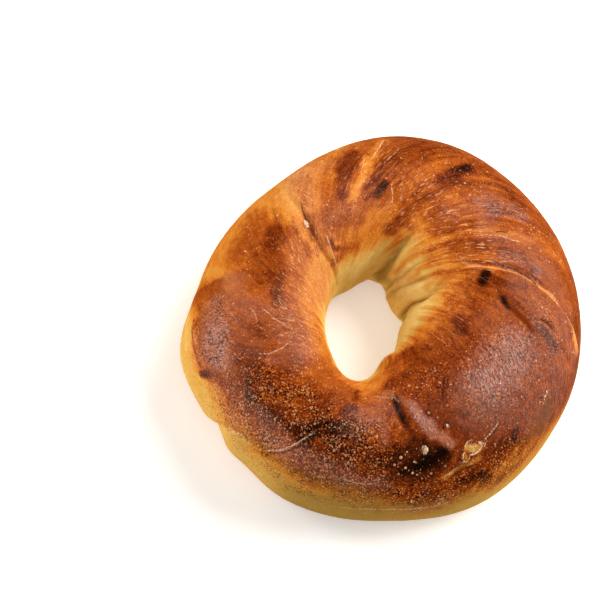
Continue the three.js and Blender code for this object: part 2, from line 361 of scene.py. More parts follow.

# Painted sheen: a pinkish reflection of the lamps painted into the colour of the egg wash, paler over paler
# crust, where it also makes the orange duller
PAINTED_SHEEN = [
    # left and front left
    (0.75, 1, 4.6, 2.6, [(203, 54), (213, 50), (221, 45)]),
    (0.4, 1, 4, 3, [(203, 66), (208, 76)]),
    (0.35, 1, 5, 3, [(214, 30), (228, 33), (240, 36)]),
    (0.3, 1, 4, 2.5, [(211, 66), (224, 72)]),
    (0.4, 1, 1.6, 1.2, [(233, 76), (236, 94)]),
    (0.55, 1, 4, 3, [(214, 111), (238, 110)]),
    (0.35, 1, 4, 3, [(222, 98), (238, 96)]),
    (0.45, 1, 3, 2.5, [(245, 46), (254, 44), (266, 42), (278, 40)]),
    (0.3, 1, 2.4, 2, [(270, 34), (288, 36)]),
    # front, with the raised band
    (0.2, 1, 4, 3, [(276, 86), (290, 100)]),
    (0.6, 1, 0.7, 0.7, RAISED_BAND),
    (0.6, 1, 1.7, 0.7, [(300.5, 92), (303, 85), (305, 79)]),
    (0.85, 1, 1.4, 0.7, [(305, 78), (310.5, 63.5)]),
    (0.5, 1, 1, 1, [(290, 110), (288, 98), (288, 84), (288, 72)]),
    # right lobe, the dip behind it and the back
    (0.5, 1, 9, 5, [(330, 78), (354, 76)]),
    (0.3, 1, 7, 5, [(338, 54), (354, 56), (370, 64)]),
    (0.3, 1, 2.6, 2, LOBE_DIP),
    (0.4, 1, 5, 3, [(14, 50), (24, 62), (36, 72)]),
    (0.4, 1, 3, 2.2, [(40, 72), (46, 90), (58, 82)]),
    (0.25, 1, 3, 2.5, [(60, 82), (68, 100)]),
    (0.5, 1, 3.4, 2.5, [(12, 70), (22, 86)]),
    # shoulder over the hole, behind and on the left
    (0.2, 1, 6, 4, [(112, 104), (140, 114)]),
    (0.3, 1, 6, 4, [(162, 112), (190, 116), (212, 108)]),
    (0.35, 1, 5, 4, [(166, 136), (190, 134), (212, 128)]),
    (0.5, 1, 4, 3, [(172, 148), (188, 150)]),
    # lip of the lobe and its leaf-shaped patch
    (0.6, 1, 0.9, 0.6, LOBE_LIP),
    (0.3, 1, 1.5, 0.8, LEAF_PATCH),
    # pleats into the hole, beside the seam
    (0.3, 1, 5, 4, [(48, 160), (72, 170)]),
    (0.4, 1, 5, 4, [(132, 52), (140, 62), (145, 88)]),
    # crest and groove of the lobe, left
    (0.2, 1, 3.4, 2.6, [(362, 101), (367, 96), (371, 89)]),
    (0, 1, 1, 0.8, [(5, 75), (9, 82), (13, 91), (17, 93)]),
    (0.5, 1, 4, 3, [(194, 64), (202, 70), (208, 84)]),
]

# How crowded the fine light blisters are
TIPS = [
    # front and front left
    (0.6, 1, 8, 5, [(230, 44), (246, 62), (262, 76), (280, 74)]),
    (0.5, 1, 6, 4, [(246, 92), (262, 96), (278, 94)]),
    (0.6, 1, 6, 4, [(266, 54), (284, 48)]),
    (0.5, 1, 7, 4, [(232, 24), (255, 28), (280, 26), (304, 24)]),
    (0.4, 1, 5, 4, [(228, 2), (255, 4), (300, 6)]),
    (0.3, 1, 5, 4, [(224, 112), (250, 112), (276, 108)]),
    # right lobe
    (0.25, 1, 7, 5, [(302, 104), (322, 100), (334, 92)]),
    (0.4, 1, 5, 4, [(312, 38), (332, 34)]),
    (0.2, 1, 9, 5, [(340, 60), (360, 52), (376, 50)]),
    (0.2, 1, 6, 4, [(330, 78), (352, 84)]),
    # left and back
    (0.14, 1, 7, 5, [(158, 58), (172, 76), (188, 86)]),
    (0.16, 1, 6, 4, [(194, 66), (204, 78), (214, 92)]),
    (0.15, 1, 6, 4, [(104, 80), (120, 96), (136, 102)]),
    (0.3, 1, 8, 5, [(34, 52), (60, 62), (84, 84)]),
    # lip of the lobe, left, beside the seam, burnt spot
    (0.8, 1, 1.3, 0.8, [(6, 32), (14, 47), (20, 63), (26, 82), (32, 96), (38, 111)]),
    (0.15, 1, 6, 4, [(194, 46), (208, 42), (222, 40)]),
    (0.3, 1, 4, 3, [(140, 52), (146, 84)]),
    (0.25, 1, 5, 3, [(292, 56), (306, 56)]),
]

# How grainy the skin is
GRAIN = [
    (0.5, 1, 12, 6, [(0, -16), (360, -16)]),
    (0.16, 1, 9, 5, [(150, 40), (190, 36)]),
    (0.26, 1, 7, 5, [(158, 72), (186, 84)]),
    (0.6, 1, 8, 5, [(330, 84), (350, 84), (364, 70)]),
    (0.4, 1, 7, 5, [(304, 100), (322, 112)]),
    (0.6, 1, 6, 3, [(204, 48), (224, 44)]),
    (0.5, 1, 3, 2, SEAM_BANK),
    (0.9, 1, 7, 5, [(232, 20), (262, 22), (300, 22), (328, 28)]),
    (0.8, 1, 7, 5, [(238, 64), (258, 74), (284, 72)]),
    (1, 1, 6, 4, [(242, 40), (284, 42)]),
    (0.35, 1, 1.6, 0.7, [(298, 93), (303, 83), (309, 66)]),
    (0.1, 1, 1.2, 0.6, [(4, 73), (8, 81), (12, 90)]),
]

# How pitted the skin is; the pits are hollows painted darker, as shade in them
PITTED = [
    (1.2, 1, 3.5, 3, [(204, 50), (213, 55), (217, 46), (219, 38)]),
    (0.45, 1, 8, 5, [(330, 80), (350, 80)]),
    (0.8, 1, 7, 4, [(238, 56), (262, 76), (284, 66)]),
    (0.8, 1, 6, 4, [(235, 26), (262, 30), (300, 28)]),
    (0.8, 1, 5, 4, [(238, 8), (262, 10), (300, 12)]),
    (0.6, 1, 5, 3, [(312, 96), (326, 84)]),
    (0.4, 1, 5, 4, [(10, 70), (30, 84)]),
    (0.3, 1, 3, 2, SEAM_BANK),
]

# Short light dashes along the dough's grain
DASHES = [
    (1, 1, 6, 5, [(38, 96), (60, 104), (88, 104)]),
    (0.8, 1, 6, 5, [(44, 126), (66, 122), (92, 124)]),
    (0.5, 1, 5, 4, [(345, 124), (370, 126), (394, 128)]),
    (0.8, 1, 6, 4, [(118, 40), (132, 44), (144, 50)]),
    (0.5, 1, 5, 4, [(100, 70), (112, 84), (118, 104)]),
    (1, 1, 8, 4, [(158, 116), (190, 120), (224, 112)]),
]

# Single small blisters with a dark rim, partly painted shadow round them, paler than the crust where no
# painted sheen lies: radius, places
SPOTS = [
    (0.9, [(302, 62)]),
    (0.65, [(312, 75), (316, 87), (325, 95), (307, 86), (294, 59)]),
    (0.5, [(292, 53), (295, 50), (297.5, 46), (303, 44), (322, 112), (308, 116), (331, 96)]),
    (0.4, [(296, 63), (299, 44), (298, 54), (300, 41), (293, 46), (313, 99), (327, 104), (324, 48),
           (329, 44)]),
    (0.65, [(348, 85), (346, 90), (341, 94), (339, 92), (341, 82), (334, 76), (338, 70), (355, 74),
            (353, 76)]),
    (0.6, [(2, 74), (0, 77), (332, 83), (344, 76), (336, 87)]),
    (0.35, [(176, 71), (183, 79), (188, 86), (171, 84), (179, 90), (47, 55), (51, 64), (66, 66), (81, 63)]),
]

# Thin dark lines, painted shadow in cracks, in folds and beside ridges, partly darker crust: strength, half
# width, way
CRACKS_AND_SHADOW_LINES = [
    # right lobe
    (1, 0.3, [(22, 71), (26, 79), (31, 89), (36, 97)]),
    (1, 0.3, [(6.5, 57), (9, 64), (9.5, 71)]),
    (0.8, 0.25, [(11, 88), (13, 91), (17, 93)]),
    (0.4, 0.35, [(40, 190), (36, 172), (29, 150)]),
    (0.8, 0.25, [(315, 90), (319, 97), (324, 105)]),
    (0.6, 0.2, [(317, 90), (321, 97), (325, 103)]),
    (1, 0.35, [(345.5, 49), (346, 47), (347, 45)]),
    # back, and the folds into the hole
    (1, 0.3, [(45, 79), (48, 86)]),
    (0.8, 0.3, BACK_CRACK),
    (0.2, 0.4, [(92, 192), (88, 178), (83, 147), (80, 134), (78, 122)]),
    (0.2, 0.3, [(80, 190), (75, 172), (66, 153), (61, 138), (55, 126)]),
    (0.2, 0.3, [(74, 190), (65, 171), (51, 151), (45, 140)]),
    # beside the seam
    (0.8, 0.22, [(144, 79), (147, 88), (150, 98), (152, 108)]),
    (0.4, 0.22, [(154, 61), (157, 71), (160, 80)]),
    (0.4, 0.22, [(154, 72), (157, 80)]),
    # front: its long line, the slit, round two blisters, the torn patch and the fold below it
    (0.8, 0.3, [(254, 31), (258, 39), (262, 55), (265, 68)]),
    (1, 0.4, [(294, 101), (295, 92), (297, 82)]),
    (0.8, 0.3, [(300, 60), (302, 57.5), (304, 60.5), (303.2, 64), (302, 67)]),
    (0.9, 0.3, [(311, 72), (310.6, 75), (311.6, 78), (313.4, 77)]),
    (0.7, 0.25, [(320, 54), (325, 57), (329, 60)]),
    (0.8, 0.3, [(311, 48), (313, 54), (316, 60), (319, 59)]),
    (0.8, 0.3, [(308, 38), (312, 40.5), (317, 43.5)]),
]

# Thin pale lines, each with a painted shadow beside it: strength, half width, way
PALE_LINES = [
    # left
    (0.6, 0.16, [(209, 90), (213, 94), (216, 96), (221, 103)]),
    (0.4, 0.16, [(207, 82), (211, 85), (215, 85)]),
    (0.4, 0.16, [(216, 84), (220, 87)]),
    (0.5, 0.16, [(207, 93), (212, 99)]),
    (0.5, 0.16, [(204, 101), (209, 105)]),
    (0.4, 0.16, [(214, 108), (219, 111)]),
    # back, and the wall below the seam
    (0.8, 0.16, [(40, 76), (45, 85), (52, 97)]),
    (0.8, 0.18, [(98, 98), (97.5, 104), (96, 116)]),
    (0.5, 0.18, [(97, 66), (100, 76), (103, 82)]),
    (0.9, 0.2, [(102, 48), (103, 56), (105, 66), (107, 74)]),
    (0.6, 0.18, [(110, 70), (111, 78), (113, 84)]),
    (0.9, 0.2, [(144, 113), (146, 131), (146.5, 146)]),
    # front
    (0.8, 0.16, [(228, 72), (231, 80), (231.5, 90), (231, 98)]),
    (0.9, 0.35, [(233, -8), (236, 3), (241, 14), (247, 22), (253, 26)]),
    (0.8, 0.16, [(253, 30), (257, 39), (261, 55), (264, 68)]),
    (0.4, 0.16, [(272, 60), (274, 68)]),
    (0.6, 0.18, [(276, 38), (281, 35), (287, 36)]),
    (0.5, 0.3, [(276, 3), (290, 8), (302, 9), (309, 13)]),
    (0.5, 0.18, [(284, 112), (289, 106), (294, 103)]),
    (0.5, 0.18, [(294, 108), (294.5, 103), (296, 97)]),
    # on three blisters
    (1.1, 0.25, [(301, 62), (302, 59.5), (303, 62), (302.4, 64.5), (301.6, 64.5), (301, 62)]),
    (1.3, 0.35, [(312.2, 76), (312.8, 76.3)]),
    (1.2, 0.3, [(346.6, 46.5), (348, 45.5), (349, 47)]),
    # torn patch, and the lines that lead away from it
    (1.1, 0.2, [(315, 56), (316, 60), (318, 61)]),
    (1.1, 0.25, [(315.5, 52), (317, 51), (319.5, 52.5), (321, 55)]),
    (0.8, 0.2, [(316.5, 58.5), (317.5, 55), (317, 52)]),
    (0.8, 0.2, [(318.5, 59), (319, 55)]),
    (1, 0.18, [(315, 55), (313.6, 53), (313.6, 49), (314.5, 47), (315.8, 50)]),
    (0.8, 0.18, [(319.5, 59), (321.5, 55), (321, 51)]),
    (0.8, 0.16, [(319, 55), (324, 58), (329, 61)]),
    (0.7, 0.18, [(306, 39), (311, 43), (314, 47)]),
]

# Loose flakes: height, half width, way
FLAKES = [
    (0.6, 0.7, [(149.6, 93), (150.4, 96)]),
    (0.2, 0.35, [(178, 63.5), (178, 64.5)]),
]

# Larger blisters: radius, height, places
LARGE_BLISTERS = [
    (1.2, 0.5, [(302, 62)]),
    (0.9, 0.4, [(325, 95), (311, 75)]),
    (0.8, 0.35, [(316, 87), (1, 78), (2, 74)]),
    (0.8, 0.3, [(310, 108)]),
    (0.7, 0.3, [(334, 76), (307, 86), (313, 108), (348, 86), (352, 76), (344, 76), (0, 76)]),
    (0.7, 0.3, [(328, 84), (300, 113)]),
    (0.6, 0.3, [(294, 59), (292, 56), (297, 54), (294, 48), (298, 47)]),
    (0.6, 0.25, [(341, 94), (336, 66), (343, 104), (331, 108), (47, 68), (62, 84)]),
    (0.7, 0.2, [(176, 76), (184, 80)]),
    (0.6, 0.2, [(322, 122), (20, 98), (187, 88), (170, 70), (181, 94)]),
]

# How far from a thin line its values are kept, and the share of it that fades at each end
LINE_REACH = 2.0
LINE_FADE = 0.12

# Values at each point of the crust that its material reads, and what they are before any strokes
CRUST_VALUES = {"bake": 0, "olive": 0, "gloss": 0.08, "haze": 0, "tips": 0, "grainy": 0.3, "pitted": 0.15,
                "dashes": 0, "line": 0, "line_side": LINE_REACH, "crack": 0, "crack_side": LINE_REACH}

# The dough's grain: degrees of lift for one of station, and how far it is drawn out
GRAIN_SLANT = 2.2
GRAIN_STRETCH = 7
CREST_RADIUS = 37
LIFT_LENGTH = 0.42  # millimetres for one degree of lift

# Layers of noise: amount, size of the lumps, seed
UNEVENNESS = [(0.35, 18, 41), (0.08, 7, 42)]
SKIN_UNEVENNESS = [(0.06, 1.5, 43)]
EDGE_WAVES = [(6, 9, 51), (3, 2.5, 52)]
MOTTLING = [(0.03, 6, 54), (0.02, 2.2, 55)]
STREAK_CLUMPS = [(1, 7, 58)]
FOOT_WAVES = [(0.5, 12, 59)]

# Layers of streaks along the grain: amount, repeats round the ring, length in degrees of lift, seed
STREAK_RELIEF = [(0.04, 6, 26, 44)]
EDGE_STREAKS = [(1, 5, 40, 53)]
STREAK_TONES = [(0.07, 4, 45, 56), (0.05, 9, 30, 57)]

# Sizes in the crust's fine pattern
CLUMP_SIZE = 4
MOTTLE_SIZE = 2.4
GRAIN_SIZE = 0.85
FINE_GRAIN_SIZE = 0.55
PIT_SIZE = 0.6
BLOB_SIZE = 0.62
DOT_SIZE = 1.2
STREAK_WIDTH = 0.9
DASH_WIDTH = 0.62
BREAK_SIZE = 0.6
JAG_SIZE = 0.5
WARP_SIZE = 0.7
WARP_REACH = 0.5

# Camera, from the photograph's frame
CAMERA_ELEVATION = 64
CAMERA_ROLL = 18
CAMERA_DISTANCE = 700
PICTURE_PX = 600
PX_PER_MM = 3.32
MIDDLE = np.array([0, -2.3, 18])
MIDDLE_PX = np.array([386, 332])
SENSOR = 36

# Floor, in metres
FLOOR_HALF = 4.0
FLOOR_DROP = 0.0002
PAPER_TONES = [(0.3, (0.86, 0.86, 0.85, 1)), (0.7, (0.89, 0.89, 0.88, 1))]

# Studio light: name, azimuth and elevation in degrees, size in metres, power in watts, whether it reflects
LIGHT_DISTANCE = 0.9  # metres
LIGHT_COLOUR = (1, 0.985, 0.965)
LIGHTS = [
    ("softbox_behind", 42, 56, 0.55, 8, True),
    ("panel_right", 38, 20, 0.5, 1.3, True),
    ("softbox_left", -150, 14, 0.36, 3.2, True),
    ("fill_above", -110, 72, 0.8, 2, False),
    ("fill_left", 180, 31, 0.3, 1.9, True),
    ("panel_side", 12, 40, 0.25, 1.4, True),
    ("panel_back", 82, 44, 0.3, 1.4, True),
]
SKY_COLOUR = (1, 0.99, 0.97, 1)
SKY_STRENGTH = 0.08


def ease(share):
    """Goes from 0 to 1 with a gentle start and end."""
    share = np.clip(share, 0, 1)
    return share * share * (3 - 2 * share)


def between(value, low, high):
    """Goes from 0 to 1 as a value rises from low to high."""
    return ease((value - low) / (high - low))


def tapered(share, fade):
    """1 along most of a way, falling to 0 at both its ends."""
    return ease(share / fade) * ease((1 - share) / fade)


def turned(station, middle):
    """Degrees from a middle station, from -180 to 180."""
    return (station - middle + 180) % 360 - 180


def around(places, station):
    """A value that runs smoothly through control points of station and value, right round the ring."""
    stations = np.array([place[0] for place in places], float)
    values = np.array([place[1] for place in places], float)
    following = np.roll(stations, -1)
    following[-1] += 360
    station = station % 360
    index = np.searchsorted(stations, station, side="right") - 1
    share = ease((station - stations[index]) / (following[index] - stations[index]))
    return values[index] + (np.roll(values, -1)[index] - values[index]) * share


def on_tray(height):
    """Keeps a height at or above the tray, with a rounded foot."""
    rounded = (height + FOOT_ROUND) ** 2 / (4 * FOOT_ROUND)
    return np.where(height <= -FOOT_ROUND, 0, np.where(height >= FOOT_ROUND, height, rounded))


def outline_radius(station):
    """Distance from the middle of the hole to the outer oval."""
    angle = np.radians(station)
    across = np.stack([np.cos(angle), np.sin(angle)], -1) / OUTLINE_HALF
    start = HOLE_MIDDLE / OUTLINE_HALF
    squared = (across ** 2).sum(-1)
    half = across @ start
    return (-half + np.sqrt(half ** 2 - squared * (start @ start - 1))) / squared


def hole_radius(station):
    """Distance from the middle of the hole to its own oval."""
    angle = np.radians(station - HOLE_TURN)
    return 1 / np.hypot(np.cos(angle) / HOLE_HALF[0], np.sin(angle) / HOLE_HALF[1])


def rope(station):
    """The rope's two radii about the middle of the hole, and its height."""
    outer = outline_radius(station)
    inner = hole_radius(station)
    height = np.full_like(outer, HEIGHT)
    for middle, spread, outward, hole, up in SWELLINGS:
        share = np.exp(-(turned(station, middle) / spread) ** 2)
        outer += outward * share
        inner += hole * share
        height += up * share
    return outer, inner, height


def plain_point(station, lift):
    """Points on the plain rope, before its creases."""
    outer, inner, height = rope(station)
    across = np.cos(np.radians(lift))
    upward = np.sin(np.radians(lift))
    full_across = np.sign(across) * np.abs(across) ** (2 / SECTION_POWER)
    full_upward = np.abs(upward) ** (2 / SECTION_POWER)
    radius = (outer + inner) / 2 + (outer - inner) / 2 * full_across
    widest = WIDEST_SHARE * height
    upper = widest + (height - widest) * full_upward
    lower = widest * (1 - SAG * full_upward)
    x = HOLE_MIDDLE[0] + radius * np.cos(np.radians(station))
    y = HOLE_MIDDLE[1] + radius * np.sin(np.radians(station))
    return np.stack([x, y, on_tray(np.where(upward >= 0, upper, lower))], -1)


def plain_normal(station, lift):
    """The way out of the plain rope."""
    step = 0.5
    along = plain_point(station + step, lift) - plain_point(station - step, lift)
    up = plain_point(station, lift + step) - plain_point(station, lift - step)
    normal = np.cross(along, up)
    return normal / np.linalg.norm(normal, axis=-1, keepdims=True)


def noise(points, size, seed):
    """Smooth noise from -1 to 1 with lumps of a given size."""
    table = np.random.default_rng(seed).uniform(-1, 1, (NOISE_CELLS,) * 3)
    place = points / size
    cell = np.floor(place).astype(int)
    share = ease(place - cell)
    total = np.zeros(len(points))
    for corner in itertools.product((0, 1), repeat=3):
        weight = np.where(corner, share, 1 - share).prod(axis=1)
        total += weight * table[tuple(((cell + corner) % NOISE_CELLS).T)]
    return total


def smooth_way(places):
    """Points over the plain ring along a smooth curve through the places."""
    places = np.array(places, float)
    ends = np.vstack([places[:1], places, places[-1:]])
    share = np.linspace(0, len(places) - 1, WAY_STEPS + 1)
    index = np.minimum(share.astype(int), max(len(places) - 2, 0))
    t = (share - index)[:, None]
    before, start, end, after = (ends[np.minimum(index + k, len(ends) - 1)] for k in range(4))
    leave = (end - before) / 2
    arrive = (after - start) / 2
    way = ((2 * start - 2 * end + leave + arrive) * t ** 3
           + (3 * end - 3 * start - 2 * leave - arrive) * t ** 2 + leave * t + start)
    return plain_point(way[:, 0], way[:, 1])


def beside(points, places, reach):
    """Finds the points within reach of a way.

    Gives their indices, their distance from the way, how far along it they are as a share, the way's
    step there and their offset from the step's start.
    """
    way = smooth_way(places)
    near = np.flatnonzero(((points > way.min(0) - reach) & (points < way.max(0) + reach)).all(axis=1))
    start = way[:-1]
    step = way[1:] - start
    offset = points[near, None] - start
    share = np.einsum("nij,ij->ni", offset, step) / np.maximum((step ** 2).sum(1), 1e-9)
    share = np.clip(share, 0, 1)
    distance = np.linalg.norm(offset - share[..., None] * step, axis=2)
    nearest = distance.argmin(axis=1)
    row = np.arange(len(near))
    along = (nearest + share[row, nearest]) / len(start)
    return near, distance[row, nearest], along, step[nearest], offset[row, nearest]


def leftward(step, offset, normal):
    """Above 0 where an offset points to the left of a step, seen from outside."""
    return np.einsum("ni,ni->n", np.cross(step, offset), normal)


class Crust:
    """The ring's surface as a grid of points, with the relief and colour values at each."""

    def __init__(self):
        turn = 2 * np.pi * np.arange(LIFT_STEPS) / LIFT_STEPS
        lifts = 90 + np.degrees(turn - CROWDING * np.sin(turn))
        stations = 360 * np.arange(STATION_STEPS) / STATION_STEPS
        station, lift = np.meshgrid(stations, lifts, indexing="ij")
        self.station = station.ravel()
        self.lift = (lift.ravel() + 90) % 360 - 90
        self.plain = plain_point(self.station, self.lift)
        self.normal = plain_normal(self.station, self.lift)
        count = len(self.plain)
        self.relief = np.zeros(count)
        for name, value in CRUST_VALUES.items():
            setattr(self, name, np.full(count, float(value)))
        self.wobbly = self.plain + self.shifts(3.0, 0.3, 11)
        self.ragged = self.plain + self.shifts(5.0, 1.0, 21) + self.shifts(1.8, 0.6, 31)

    def shifts(self, size, far, seed):
        """Random moves of the points, to make edges uneven."""
        return far * np.stack([noise(self.plain, size, seed + axis) for axis in range(3)], -1)

    def lumps(self, layers):
        """The sum of layers of noise at the points."""
        return sum(amount * noise(self.plain, size, seed) for amount, size, seed in layers)

    def streaks(self, layers):
        """The sum of layers of noise drawn out along the dough's grain."""
        grain_station = self.station - (self.lift - 90) / GRAIN_SLANT
        total = np.zeros(len(self.plain))
        for amount, repeats, length, seed in layers:
            across = grain_station * repeats * NOISE_CELLS / 360
            along = (self.lift + 90) % 360 / length
            total += amount * noise(np.stack([across, along, np.zeros_like(along)], -1), 1, seed)
        return total

    def points(self):
        """The points with their relief."""
        return self.plain + self.normal * (self.relief * ease(self.plain[:, 2] / FOOT_CLEAR))[:, None]


def paint(values, points, strokes):
    """Draws values towards the level of each stroke, along its way."""
    for level, strength, width, soft, places in strokes:
        near, away, *_ = beside(points, places, width + soft)
        share = strength * (1 - ease((away - width + soft) / (2 * soft)))
        values[near] += (level - values[near]) * share


def add_creases(crust):
    """The part's own creases and ridges, then the finer cracks."""
    for depth, width, lip, places in CREASES:
        reach = 4 * (lip[2] if lip else width)
        near, away, share, step, offset = beside(crust.plain, places, reach)
        groove = (depth[0] + (depth[1] - depth[0]) * share) * np.exp(-(away / width) ** 2)
        rise = 0
        if lip:
            lip_height, lip_side, lip_reach = lip
            raised = leftward(step, offset, crust.normal[near]) * lip_side < 0
            rise = raised * lip_height * np.exp(-away / lip_reach) * (1 - np.exp(-away / width))
        crust.relief[near] += tapered(share, END_FADE) * (rise - groove)
    for depth, width, places in FINE_CREASES:
        near, away, share, *_ = beside(crust.wobbly, places, 4 * width)
        crust.relief[near] -= depth * tapered(share, END_FADE) * np.exp(-(away / width) ** 2)


def add_unevenness(crust):
    """The soft unevenness of baked dough."""
    crust.relief += crust.lumps(UNEVENNESS) + crust.streaks(STREAK_RELIEF)
    crust.relief += crust.grainy * crust.lumps(SKIN_UNEVENNESS)


def general_bake(station, lift, inner):
    """The bake before any strokes: a pale flank, a browned top and the pale wall of the hole."""
    crest = around(CREST_BAKE, station)
    top = crest + (around(SHOULDER_BAKE, station) - crest) * between(lift, *SHOULDER_LIFTS)
    outer = ease((lift - around(OUTER_EDGE, station)) / (2 * around(OUTER_FADE, station)) + 0.5)
    bake = FLANK_BAKE + (top - FLANK_BAKE) * outer
    return bake + (WALL_BAKE - bake) * inner


def add_bake(crust):
    """How far each place is baked, its olive tone and painted shade, and a smoother skin on the wall of the
    hole.
    """
    station = crust.station
    streaky = around(STREAKY, station)
    lift = crust.lift + crust.lumps(EDGE_WAVES)
    lift += (3 + 7 * streaky * between(crust.lift, 95, 125)) * crust.streaks(EDGE_STREAKS)
    inner = ease((lift - around(INNER_EDGE, station)) / (2 * INNER_FADE) + 0.5)
    smoother = 1 - 0.7 * inner
    crust.grainy *= smoother
    crust.pitted *= 1 - inner

    crust.olive = around(FLANK_PAINTED_SHADE, station) * (1 - between(lift, *FLANK_PAINTED_SHADE_LIFTS))
    crust.olive += around(WALL_PAINTED_SHADE, station) * between(lift, *WALL_PAINTED_SHADE_LIFTS)
    paint(crust.olive, crust.wobbly, OLIVE_TONES_AND_PAINTED_SHADE)

    bake = general_bake(station, lift, inner)
    paint(bake, crust.ragged, BROWNING)
    tones = crust.streaks(STREAK_TONES) * (1 + crust.lumps(STREAK_CLUMPS))
    bake += tones * streaky * between(crust.lift, 30, 70) * smoother + crust.lumps(MOTTLING)
    paint(bake, crust.wobbly, MARKS)
    foot_height = FOOT_BROWNING * (1 + crust.lumps(FOOT_WAVES))
    under = 1 - ease(crust.plain[:, 2] / foot_height)
    crust.bake = bake + (UNDERSIDE_BAKE - bake) * under


def add_texture(crust):
    """Where the crust shines or has painted sheen, is grainy or pitted, and has fine blisters or light
    dashes.
    """
    paint(crust.gloss, crust.ragged, GLOSS)
    paint(crust.grainy, crust.ragged, GRAIN)
    paint(crust.pitted, crust.ragged, PITTED)
    paint(crust.tips, crust.ragged, TIPS)
    paint(crust.dashes, crust.ragged, DASHES)
    paint(crust.haze, crust.ragged, PAINTED_SHEEN)


def add_lines(crust, lines, clear, side):
    """Thin lines in the crust: how clear they are at a point, and how far left or right of one it lies."""
    for strength, width, places in lines:
        near, away, share, step, offset = beside(crust.wobbly, places, LINE_REACH)
        left = leftward(step, offset, crust.normal[near]) > 0
        clearer = strength * tapered(share, LINE_FADE) * (1 - ease(away / LINE_REACH))
        better = clearer > clear[near]
        clear[near[better]] = clearer[better]
        side[near[better]] = (np.where(left, away, -away) / width)[better]


def add_flakes(crust):
    """Loose pale flakes that stand up from the crust."""
    for height, width, places in FLAKES:
        near, away, *_ = beside(crust.plain, places, 2 * width)
        share = 1 - ease((away - 0.7 * width) / (0.6 * width))
        crust.relief[near] += height * share
        crust.line[near] = np.maximum(crust.line[near], 2 * share)
        crust.line_side[near] *= 1 - share


def add_blisters(crust):
    """The larger blisters as domes."""
    for radius, height, places in LARGE_BLISTERS:
        for place in places:
            near, away, *_ = beside(crust.plain, [place], radius)
            dome = np.clip(1 - (away / radius) ** 2, 0, 1) ** 2
            crust.relief[near] += height * dome


def spot_places(crust):
    """Middle and radius of each small blister, on the finished crust."""
    points = crust.points()
    spots = []
    for radius, places in SPOTS:
        for station, lift in places:
            middle = plain_point(np.array([station]), np.array([lift]))
            away = np.linalg.norm(crust.plain - middle, axis=1)
            spots.append((points[away.argmin()], radius))
    return spots


def add_grain(crust):
    """Coordinates drawn out along the dough's grain, closed round the ring, in millimetres."""
    angle = np.radians(crust.station - (crust.lift - 90) / GRAIN_SLANT)
    along = crust.lift * LIFT_LENGTH / GRAIN_STRETCH
    crust.grain = np.stack([CREST_RADIUS * np.cos(angle), CREST_RADIUS * np.sin(angle), along], -1)


def ring_mesh(crust):
    """The finished ring as one closed mesh, with its colour values as attributes."""
    index = np.arange(STATION_STEPS * LIFT_STEPS).reshape(STATION_STEPS, LIFT_STEPS)
    beyond = np.roll(index, -1, axis=0)
    faces = np.stack([index, beyond, np.roll(beyond, -1, axis=1), np.roll(index, -1, axis=1)], -1)
    mesh = bpy.data.meshes.new("acma_crust")
    mesh.from_pydata((crust.points() * METRES).tolist(), [], faces.reshape(-1, 4).tolist())
    for name in CRUST_VALUES:
        layer = mesh.attributes.new(name, "FLOAT", "POINT")
        layer.data.foreach_set("value", getattr(crust, name).astype(np.float32))
    layer = mesh.attributes.new("grain", "FLOAT_VECTOR", "POINT")
    layer.data.foreach_set("vector", crust.grain.astype(np.float32).ravel())
    mesh.shade_smooth()
    return mesh


def srgb(red, green, blue):
    """A colour given as it looks on screen, from 0 to 255, as Blender's linear colour."""
    share = np.array([red, green, blue]) / 255
    linear = np.where(share <= 0.04045, share / 12.92, ((share + 0.055) / 1.055) ** 2.4)
    return (*linear, 1)


# Colours of the crust by how far it is baked, then those that lie over them
BAKE_COLOURS = [
    (0.00, srgb(236, 204, 122)),
    (0.13, srgb(222, 178, 92)),
    (0.30, srgb(214, 152, 66)),
    (0.45, srgb(205, 120, 40)),
    (0.60, srgb(160, 76, 22)),
    (0.75, srgb(108, 41, 9)),
    (0.88, srgb(58, 21, 5)),
    (1.00, srgb(18, 7, 3)),
]
# Olive tone, also used as painted shade on the flank, deep in the hole and in its folds
OLIVE_AND_SHADE_COLOUR = srgb(134, 104, 44)
LINE_COLOUR = srgb(246, 208, 168)
# Pale colour of the light blisters, dashes and pale blisters, also of the painted glints
TIP_AND_GLINT_COLOUR = srgb(230, 172, 128)
# Painted sheen, a pinkish reflection painted over dark crust and over paler crust
PAINTED_SHEEN_COLOUR = srgb(178, 116, 92)
PALE_PAINTED_SHEEN_COLOUR = srgb(228, 168, 122)
# Dark of the cracks: painted shadow, partly darker crust
CRACK_AND_SHADOW_COLOUR = srgb(24, 10, 5)


